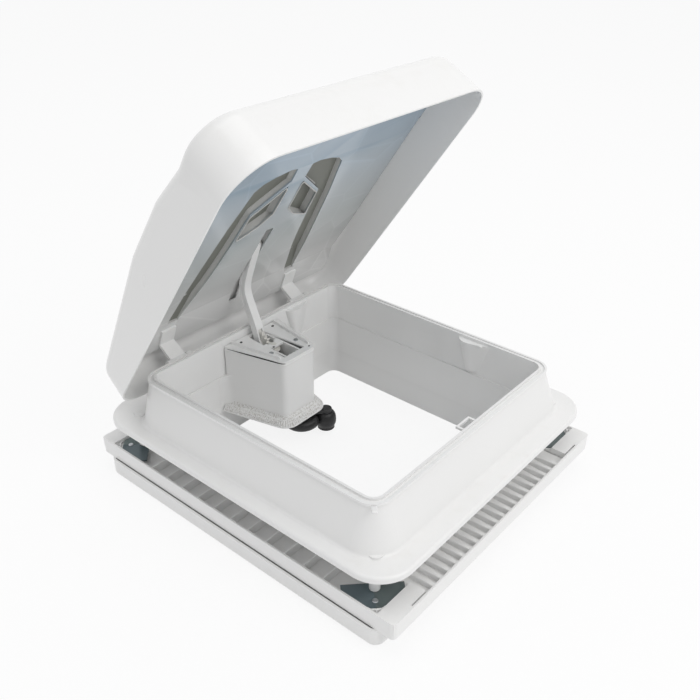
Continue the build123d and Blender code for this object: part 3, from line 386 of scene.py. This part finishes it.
def loop(rings):
    """A closed skin over rings of points along a path that ends where it starts."""
    rows, count = rings.shape[:2]
    i = np.arange(rows * count).reshape(rows, count)
    ahead, after = np.roll(i, -1, axis=1), np.roll(i, -1, axis=0)
    return outward(rings.reshape(-1, 3), quads(i, ahead, np.roll(ahead, -1, axis=0), after))


def add_piece(name, skins, material, body="frame", sharp=40):
    """One object made of one or more closed skins, riding on a CAD body."""
    starts = np.cumsum([0] + [len(points) for points, faces in skins[:-1]])
    faces = np.concatenate([faces + start for start, (points, faces) in zip(starts, skins)])
    points = np.concatenate([points for points, faces_ in skins])
    mesh = bpy.data.meshes.new(name)
    mesh.from_pydata(points.tolist(), [], faces.tolist())
    mesh.polygons.foreach_set("use_smooth", np.ones(len(faces), dtype=bool))
    mesh.set_sharp_from_angle(angle=radians(sharp))
    mesh.materials.append(material)
    obj = bpy.data.objects.new(name, mesh)
    bpy.context.scene.collection.objects.link(obj)
    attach(obj, body)


def span(start, end, count, down=False):
    """Even steps from start to end, as a row, or as a column with down."""
    steps = np.linspace(start, end, count)
    return steps[:, None] if down else steps[None, :]


def ring(count=10):
    """Even angles once round, as a row."""
    return np.linspace(0, 2 * np.pi, count, endpoint=False)[None, :]


def path_along(corners, radius, step):
    """Even steps along a plan path with rounded corners: its points, the outward side of each, and the lengths.

    A corner is an arc tangent to both of its sides; the path is walked at an even step of its length.
    """
    corners = np.array(corners, dtype=float)
    spots = [corners[:1]]
    for before, at, after in zip(corners[:-2], corners[1:-1], corners[2:]):
        come, go = (at - before) / np.hypot(*(at - before)), (after - at) / np.hypot(*(after - at))
        turn = np.arccos(np.clip(come @ go, -1, 1))
        cut = radius * np.tan(turn / 2)
        angle = turn * span(0, 1, 17, down=True)
        side = (go - come * np.cos(turn)) / np.sin(turn)
        spots.append(at - come * cut + radius * (come * np.sin(angle) + side * (1 - np.cos(angle))))
    spots.append(corners[-1:])
    spots = np.concatenate(spots)
    run = np.concatenate([[0], np.cumsum(np.hypot(*np.diff(spots, axis=0).T))])
    at = np.linspace(0, run[-1], int(run[-1] / step) + 1)
    points = np.stack([np.interp(at, run, spots[:, k]) for k in (0, 1)], axis=1)
    tangent = np.gradient(points, axis=0)
    tangent /= np.hypot(*tangent.T)[:, None]
    return points, np.stack([-tangent[:, 1], tangent[:, 0]], axis=1), at


def box_corners(reach):
    """The gearbox's plan outline grown by reach, from its back left corner round its front."""
    side = reach * np.hypot(1, BOX_SLANT)
    back, front = BOX_BACK_HALF + side, BOX_FRONT_HALF + side - BOX_SLANT * reach
    return [(-back, BOX_BACK_Y), (-front, BOX_FRONT_Y - reach), (front, BOX_FRONT_Y - reach), (back, BOX_BACK_Y)]


def follow(points, sides, out, up):
    """Rings of a profile carried along a plan path: out is measured to the outer side, up is the height."""
    outs, ups = np.broadcast_arrays(out, up)
    return mm(points[:, 0, None] - sides[:, 0, None] * outs, points[:, 1, None] - sides[:, 1, None] * outs, ups)


def bead(points, sides, out, up, wide, high):
    """Rings of an oval bead carried along a plan path: its centre's out and up, and its two half sizes."""
    turn = ring()
    return follow(points, sides, out + wide * np.cos(turn), up + high * np.sin(turn))


def knurled_skirt():
    """The flared skirt round the gearbox's foot, with two rows of rope-like knurling and a bead at its edge.

    Profile points sweep along the outline; each is pushed out by knurl times a slanted sine and a cosine, slanted
    the other way, of the path length and the height, faded to nothing at the skirt's edges.
    """
    reach, step = 6.0, 0.55
    knurl, pitch, lay = 1.1, 4.4, 6.0
    profile = np.array([(-5.8, 12.6), (-4.6, 10.2), (-2.6, 8.6), (-0.4, 7.4), (1.8, 6.2), (3.7, 4.6), (5.2, 2.8),
                        (6.2, 1.0), (6.0, -0.4), (4.6, -0.9), (1.0, -0.9), (-3.0, -0.9), (-5.6, -0.9), (-5.8, 2.0),
                        (-5.8, 5.5), (-5.8, 9.0)])
    points, sides, run = path_along(box_corners(reach), BOX_CORNER + reach, step)
    out, up = profile.T[:, None, :]
    fade = np.clip((up + 0.4) / 2, 0, 1) * np.clip((9.4 - up) / 1.5, 0, 1) * (out > -5)
    turns = run[:, None] / pitch
    rope = np.sin(2 * np.pi * (turns + up / lay)) * np.cos(2 * np.pi * (turns / 2 - up / lay))
    bump = knurl * fade * rope
    add_piece("base_skirt", [tube(follow(points, sides, out + bump, up + 0.5 * bump))], SKIRT, sharp=50)
    add_piece("skirt_bead", [tube(bead(points[::3], sides[::3], 6.4, 0.2, 1.1, 1.1))], PLASTIC)


def gearbox_beads():
    """The rounded bead along the top of the housing wall, and above it on the left side a black leaf that is a painted
    shadow of the slot under the cover.

    The bead is an oval carried along the outline; the slot's painted shadow is a flat leaf whose height goes as the
    root of a half sine of the path, higher towards the front.
    """
    points, sides, run = path_along(box_corners(0), BOX_CORNER, 1.5)
    add_piece("housing_bead", [tube(bead(points, sides, 0.0, BOX_TOP - 2.6, 1.0, 1.3))], PLASTIC)
    start, length = 0.015, 0.375
    share = run / run[-1]
    stretch = (share > start) & (share < start + length)
    inner = (share[stretch] - start) / length
    height = (0.7 + 0.75 * inner) * np.sqrt(np.clip(np.sin(np.pi * np.clip(inner, 0.02, 0.98)), 0, 1))
    slot = bead(points[stretch], sides[stretch], 0.1, BOX_TOP + 0.1, 0.35, height[:, None])
    add_piece("cover_slot_shadow", [tube(slot)], BLACK)


def ledge_bead():
    """The rounded edge of the step inside the throat: a small round carried along the opening."""
    half, front, back = OPENING_X / 2 - LEDGE_STEP, OPENING_FRONT + LEDGE_STEP, OPENING_BACK - LEDGE_STEP
    corners = [(0, back), (-half, back), (-half, front), (half, front), (half, back), (0, back)]
    points, sides, run = path_along(corners, LEDGE_CORNER, 3.0)
    add_piece("ledge_bead", [loop(bead(points[:-1], sides[:-1], 0.5, LEDGE_Z - 0.4, 0.9, 0.9))], PLASTIC)


def crank_grip():
    """The thick black root of the crank under the gearbox, hollowed round the knob so that the knob can spin.

    Its radius over the share t of its height is radius (0.86 + 0.14 sin pi t) sqrt(1 - |2t - 1|^8). A point
    nearer to the knob's axis than clear is moved straight out from it to that distance.
    """
    centre, radius, clear, top, height = (9.0, 95.0), 27.0, 16.4, -6.9, 19.0
    turn = ring(72)
    t = span(0, 1, 15, down=True)
    barrel = radius * (0.86 + 0.14 * np.sin(np.pi * t)) * np.sqrt(np.clip(1 - (np.abs(2 * t - 1) ** 8), 0.25, 1))
    x, y = centre[0] + barrel * np.cos(turn) - KNOB_X, centre[1] + barrel * np.sin(turn) - KNOB_Y
    push = np.maximum(clear / np.hypot(x, y), 1)
    rings = mm(KNOB_X + x * push, KNOB_Y + y * push, top - height * t)
    add_piece("crank_grip", [tube(rings)], BLACK, body="crank")


def wall_fillets():
    """The hollow fillets that blend the gearbox's foot into the throat wall.

    Plan curve: the quadratic curve from the wall through the corner to the box side; swept up to the ledge.
    """
    reach = 15.0
    t = span(0, 1, 14)
    up = span(BOX_FOOT + 0.5, LEDGE_Z + 0.6, 5, down=True)
    corner = np.array([-BOX_BACK_HALF, BOX_BACK_Y])
    wall = corner - (reach, 0)
    flank = corner + reach * np.array([BOX_SLANT, -1]) / np.hypot(1, BOX_SLANT)
    curve = [(1 - t) ** 2 * a + 2 * t * (1 - t) * b + t ** 2 * c for a, b, c in zip(wall, corner, flank)]
    inner = [np.where(t < 0.5, a + (b - a) * 2 * t, b + (c - b) * (2 * t - 1)) for a, b, c in zip(wall, corner, flank)]
    skins = [shell(mm(side * curve[0], curve[1], up), mm(side * inner[0], inner[1] + 0.2, up)) for side in (1, -1)]
    add_piece("throat_fillets", skins, PLASTIC, sharp=60)


def latch_funnels():
    """The two tapering latch funnels that stand out from the throat walls, wide at the top, and the front one's tab.

    Half width falls from top to foot; the stand-off is depth (1 - |s|^2.2)^0.8, where s is the share w of the
    half width moved sideways by 0.42 (1 - w^2), so that one flank is steep. The tab is a tapered round bar.
    """
    t, w = span(0, 1, 22, down=True), span(-1, 1, 25)
    half = 25.0 - 14.5 * t
    foot = np.sqrt(np.clip(1 - ((t - 0.9) / 0.1).clip(0, 1) ** 2, 0, 1))
    skew = w + 0.42 * (1 - w ** 2)
    stand = (10.0 - 4.0 * t) * (1 - np.abs(skew) ** 2.2) ** 0.8 * foot + 0.15
    up = 107.5 - 49.0 * t
    wall, behind = OPENING_X / 2, 0.3 + 0 * stand
    skins = [shell(mm(wall - stand, LATCH_Y - w * half, up), mm(wall + behind, LATCH_Y - w * half, up)),
             shell(mm(LATCH_X + w * half, OPENING_BACK - stand, up), mm(LATCH_X + w * half, OPENING_BACK + behind, up))]
    add_piece("latch_funnels", skins, PLASTIC, sharp=50)
    t, turn = span(0, 1, 12, down=True), ring()
    tab = mm(wall - 6.5 + 1.6 * np.cos(turn), LATCH_Y - 6.0 - 11.0 * t,
             107.6 + 1.3 * np.sin(turn) * np.sin(np.pi * (0.1 + 0.8 * t)))
    add_piece("latch_tab", [tube(tab)], PLASTIC)


def air_scoops():
    """The scoops between the tray's vanes: full width at the throat, drawn in to a strip at the outer wall.

    One side is straight; the width is wide + (narrow - wide) smoothstep(u), and the top falls off towards
    the throat with (1 - u)^2 and rolls over at its edges.
    """
    u, v = span(0, 1, 26, down=True), span(0, 1, 9)
    pitch, half_vane, sweep, wide, narrow = 14.9, 0.9, 2.4, 14.0, 6.0
    behind_wall, floor_reach, floor_depth = 4.8, 160, 0.8
    ease = np.clip((u - 0.12) / 0.6, 0, 1)
    width = wide + (narrow - wide) * (3 * ease ** 2 - 2 * ease ** 3)
    roll = 0.9 * (1 - np.sqrt(np.clip(1 - ((np.abs(2 * v - 1) - 0.7) / 0.3).clip(0, 1) ** 2, 0, 1)))
    top = 3.0 - 2.6 * (1 - u) ** 2 - roll
    skins = []
    for side, inner in ((-1, OPENING_FRONT - behind_wall), (1, OPENING_BACK + behind_wall)):
        outer = side * (TRAY_Y - TRAY_WALL) / 2
        y = inner + (outer - inner) * u
        for number in range(-10, 10):
            x = number * pitch - half_vane - sweep * (1 - u) + width * v
            skins.append(shell(mm(x, y, top), mm(x, y, TRAY_FLOOR - 0.2)))
        floor = mm(span(-floor_reach, floor_reach, 3, down=True), span(inner, outer, 3), SCOOP_FLOOR)
        skins.append(shell(floor, floor - (0, 0, floor_depth * MM)))
    add_piece("air_scoops", skins, PLASTIC, sharp=35)


def chain(shares, side, count):
    """Points of one edge of a liner cut-out at even steps of its length, in millimetres of the shut lid."""
    edge = np.array(shares) * (side * LID_X / 2, LID_Y)
    run = np.concatenate([[0], np.cumsum(np.hypot(*np.diff(edge, axis=0).T))])
    at = np.linspace(0, run[-1], count)
    return np.stack([np.interp(at, run, edge[:, k]) for k in (0, 1)], axis=-1)[:, None, :]


def liner_rise(y):
    """Height of the liner's visible face over the lid's edge."""
    return np.interp(y, LINER_Y, LINER_RISE)


def behind_liner(a, b, across, low, depth):
    """Points between two edges, at the share across, sunk behind the liner by the share low of the depth.

    The depth is held under the lid's roof.
    """
    x, y = (a[..., k] + (b - a)[..., k] * across for k in (0, 1))
    back = liner_rise(y) + LINER_THICKNESS
    roof = np.interp(y / LID_Y, *ROOF_SHARES) * LID_CROWN - LID_WALL
    room = np.clip(np.minimum(depth, roof - back - 2.4), 0.2, None)
    return x, y, back + 0.1 + room * low


def leaf(spots, near, far, trim):
    """A thin closed leaf over points of the lid, between two heights from them, less trim rows at each end."""
    x, y, rise = (grid[trim:len(grid) - trim] for grid in spots)
    return shell(opened(x, y, rise + near), opened(x, y, rise + far))


def recess_trays():
    """The shallow trays behind the liner's cut-outs: pale walls, a floor darkened as painted shade, and a black line at
    one edge that is a painted shadow.

    Across a tray the points run lip, wall, floor, wall, lip; the depth comes back to nothing at both ends.
    """
    groove = (((0.549, 0.359), (0.516, 0.214), (0.471, 0.085), (0.422, -0.042), (0.381, -0.119), (0.354, -0.174),
               (0.305, -0.195), (0.224, -0.208), (0.117, -0.216), (0.054, -0.212)),
              ((0.464, 0.359), (0.366, 0.203), (0.334, 0.129), (0.307, 0.047), (0.294, -0.008), (0.275, -0.071),
               (0.050, -0.160)))
    pocket = (((0.296, 0.046), (0.278, -0.064)), ((0.058, -0.022), (0.053, -0.150)))
    floors, walls, shadows = [], [], []
    for (outer, inner), depth, count in ((groove, 6.0, 90), (pocket, 8.0, 24)):
        ends = np.ones((count, 1))
        ends[[0, -1]] = 0
        for side in (-1, 1):
            a, b = chain(outer, side, count), chain(inner, side, count)
            width = np.hypot(*(b - a).transpose(2, 0, 1))
            lip, wall = 0.6 / width, 0.36 / width
            none, line = 0 * width, 1.7 / width
            across = np.concatenate([-lip, none + 0.01, wall + 0.02, 1 - wall - 0.02, 1 - 0.01 + none, 1 + lip], axis=1)
            low = np.array([0, 0.25, 1, 1, 0.25, 0])[None, :] * ends
            walls.append(leaf(behind_liner(a, b, across, low, depth), 0.0, 0.9, trim=0))
            floors.append(leaf(behind_liner(a, b, span(0.06, 0.94, 7) + none, ends, depth), -0.25, -0.1, trim=1))
            # Painted shadow: a thin black strip along one edge of each groove, where its hidden wall lies in shade.
            edge = np.concatenate([none, line] if side < 0 else [1 - line, 1 + none], axis=1)
            shadows.append(leaf(behind_liner(a, b, edge, 0.0, depth), 0.15, 0.6, trim=2))
    add_piece("recess_walls", walls, RECESS_WALL, body="lid", sharp=30)
    add_piece("recess_floors", floors, RECESS, body="lid", sharp=30)
    add_piece("recess_shadows", shadows, BLACK, body="lid", sharp=30)


def pocket_frames():
    """The thin pale lip round the pocket of each cut-out: an oval bead on a path with rounded corners."""
    shares = np.array([(0.291, 0.038), (0.274, -0.059), (0.058, -0.144), (0.063, -0.034), (0.143, 0.004)])
    turn = ring(8)
    skins = []
    for side in (-1, 1):
        corners = shares * (side * LID_X / 2, LID_Y)
        middle = (corners[:1] + corners[1:2]) / 2
        points, sides, run = path_along(np.concatenate([middle, corners[1:], corners[:1], middle]), 3.0, 2.0)
        x, y = (points[:-1, k, None] + sides[:-1, k, None] * np.cos(turn) for k in (0, 1))
        skins.append(loop(opened(x, y, liner_rise(y) - 0.3 + 0.9 * np.sin(turn))))
    add_piece("pocket_frames", skins, RECESS_WALL, body="lid")


def blob(centre, half, turn, power):
    """A rounded block: a superellipsoid of the given power, turned in plan, closed by small flat ends."""
    lat, lon = span(-np.pi / 2 + 0.06, np.pi / 2 - 0.06, 13, down=True), ring(24)

    def eased(value):
        return np.sign(value) * np.abs(value) ** (2 / power)

    x = half[0] * eased(np.cos(lat)) * eased(np.cos(lon))
    y = half[1] * eased(np.cos(lat)) * eased(np.sin(lon))
    z = half[2] * eased(np.sin(lat))
    return tube(mm(centre[0] + x * cos(turn) - y * sin(turn), centre[1] + x * sin(turn) + y * cos(turn),
                   centre[2] + z))


def small_marks():
    """The nub outside the rim's corner, the bright eyelets in the plates, and black spots on the cover that are painted
    shadows of its screw wells.
    """
    add_piece("rim_nub", [blob((-189.5, -197.5, RIM_Z - 3.2), (5.2, 3.4, 1.7), radians(45), 5)], PLASTIC)
    eyelets = [blob((x * CLAMP_X, y * CLAMP_Y, 0.15), (3.5, 3.5, 0.8), 0, 2) for x in (-1, 1) for y in (-1, 1)]
    add_piece("plate_eyelets", eyelets, STEEL)
    # Painted shadows: thin black spots where the cover's screw wells lie in shade.
    wells = ((-9.9, 128.0, 2.1), (25.0, 92.6, 1.7), (32.5, 172.0, 2.6), (-31.0, 172.0, 2.4))
    add_piece("screw_well_shadows", [blob((x, y, COVER_TOP + 0.05), (r, 0.8 * r, 0.3), radians(30), 2) for x, y, r in wells],
              BLACK)


def well_teeth():
    """The row of teeth across the front of the cover's well: height is a triangle wave of x."""
    x, y = span(-13, 13, 53, down=True), span(98.2, 101.4, 4)
    pitch, height = 6.5, 6.2
    wave = np.abs(((x / pitch) % 1) - 0.5) * 2
    top = BOX_TOP - 4.5 + height * wave
    add_piece("well_teeth", [shell(mm(x, y, top), mm(x, y, BOX_TOP - 12))], PLASTIC, sharp=25)


def ribbon(points, width, low, high):
    """A thin upright wall along a plan path, with a rounded top: height high - roll at its two edges."""
    tangent = np.gradient(points, axis=0)
    tangent /= np.hypot(*tangent.T)[:, None]
    v = span(-1, 1, 7)
    x = points[:, 0, None] - tangent[:, 1, None] * v * width / 2
    y = points[:, 1, None] + tangent[:, 0, None] * v * width / 2
    top = high - width / 2 * (1 - np.sqrt(np.clip(1 - v ** 2, 0, 1)))
    return shell(mm(x, y, top), mm(x, y, low))


def corner_gussets():
    """The small webs in each tray corner beyond the plate: an arc along the plate's cut corner, and a Y of ribs."""
    skins = []
    angle = np.linspace(0, np.pi / 2, 12)
    arc = np.stack([CLAMP_X + 14.5 * np.cos(angle), CLAMP_Y + 14.0 * np.sin(angle)], axis=1)
    hub = np.array([215.8, 224.4])
    ends = (np.array([220.6, 228.8]), np.array([220.9, 219.0]), np.array([210.5, 229.0]))
    for side in ((-1, -1), (-1, 1), (1, -1), (1, 1)):
        skins.append(ribbon(arc * side, 1.3, -1.6, 2.2))
        skins += [ribbon(np.linspace(hub, end, 6) * side, 1.1, -1.6, 2.6) for end in ends]
    add_piece("corner_gussets", skins, PLASTIC)


# Studio

def looked_past(tree):
    """One for the rays that look straight, by reflection or through a clear body; nothing for the rest."""
    rays = node(tree, "ShaderNodeLightPath").outputs
    seen = calculate(tree, "MAXIMUM", rays["Is Camera Ray"], rays["Is Glossy Ray"])
    return calculate(tree, "MAXIMUM", seen, rays["Is Transmission Ray"])


def make_floor():
    """A plain pale floor at the lowest point: mostly white to what looks at it, and matt enough to keep the shadow."""
    half, lowest = 12.0, cad_box[0][2]
    mesh = bpy.data.meshes.new("floor")
    corners = [(x * half, y * half, lowest) for x, y in ((-1, -1), (1, -1), (1, 1), (-1, 1))]
    mesh.from_pydata(corners, [], [(0, 1, 2, 3)])
    floor = bpy.data.objects.new("floor", mesh)
    bpy.context.scene.collection.objects.link(floor)
    mat = bpy.data.materials.new("floor")
    mat.use_nodes = True
    tree = mat.node_tree
    tree.nodes.clear()
    paper = node(tree, "ShaderNodeBsdfDiffuse", {"Color": (0.93, 0.93, 0.93, 1)})
    glow = node(tree, "ShaderNodeEmission", {"Strength": 1.0})
    share = calculate(tree, "MULTIPLY", looked_past(tree), 0.86)
    mix = node(tree, "ShaderNodeMixShader", {"Fac": share, 1: paper.outputs[0], 2: glow.outputs[0]})
    node(tree, "ShaderNodeOutputMaterial", {"Surface": mix.outputs[0]})
    mesh.materials.append(mat)


def make_world():
    """A white world for everything that looks past the floor, and a softer one that lights the vent."""
    world = bpy.data.worlds.new("studio")
    world.use_nodes = True
    tree = world.node_tree
    tree.nodes.clear()
    white = node(tree, "ShaderNodeBackground", {"Color": (1, 1, 1, 1), "Strength": 1.0})
    soft = node(tree, "ShaderNodeBackground", {"Color": (0.985, 0.99, 1.0, 1), "Strength": 0.66})
    mix = node(tree, "ShaderNodeMixShader", {"Fac": looked_past(tree), 1: soft.outputs[0], 2: white.outputs[0]})
    node(tree, "ShaderNodeOutputWorld", {"Surface": mix.outputs[0]})
    bpy.context.scene.world = world


def area_light(name, at, side, power, color):
    """A soft square studio light that looks at the middle of the vent."""
    light = bpy.data.lights.new(name, "AREA")
    light.shape = "RECTANGLE"
    light.size = light.size_y = side
    light.energy = power
    light.color = color
    obj = bpy.data.objects.new(name, light)
    obj.location = at
    obj.rotation_euler = (Vector((0, 0, 0.1)) - Vector(at)).to_track_quat("-Z", "Y").to_euler()
    bpy.context.scene.collection.objects.link(obj)


knurled_skirt()
gearbox_beads()
ledge_bead()
crank_grip()
wall_fillets()
latch_funnels()
air_scoops()
recess_trays()
pocket_frames()
small_marks()
well_teeth()
corner_gussets()
make_floor()
make_world()
area_light("key", (0.2, -2.4, 2.4), 1.6, 26.0, (1.0, 0.99, 0.975))
area_light("top", (0.1, 0.0, 3.0), 2.2, 16.0, (1.0, 0.995, 0.99))

make_camera()
bpy.context.scene.view_settings.view_transform = "Standard"
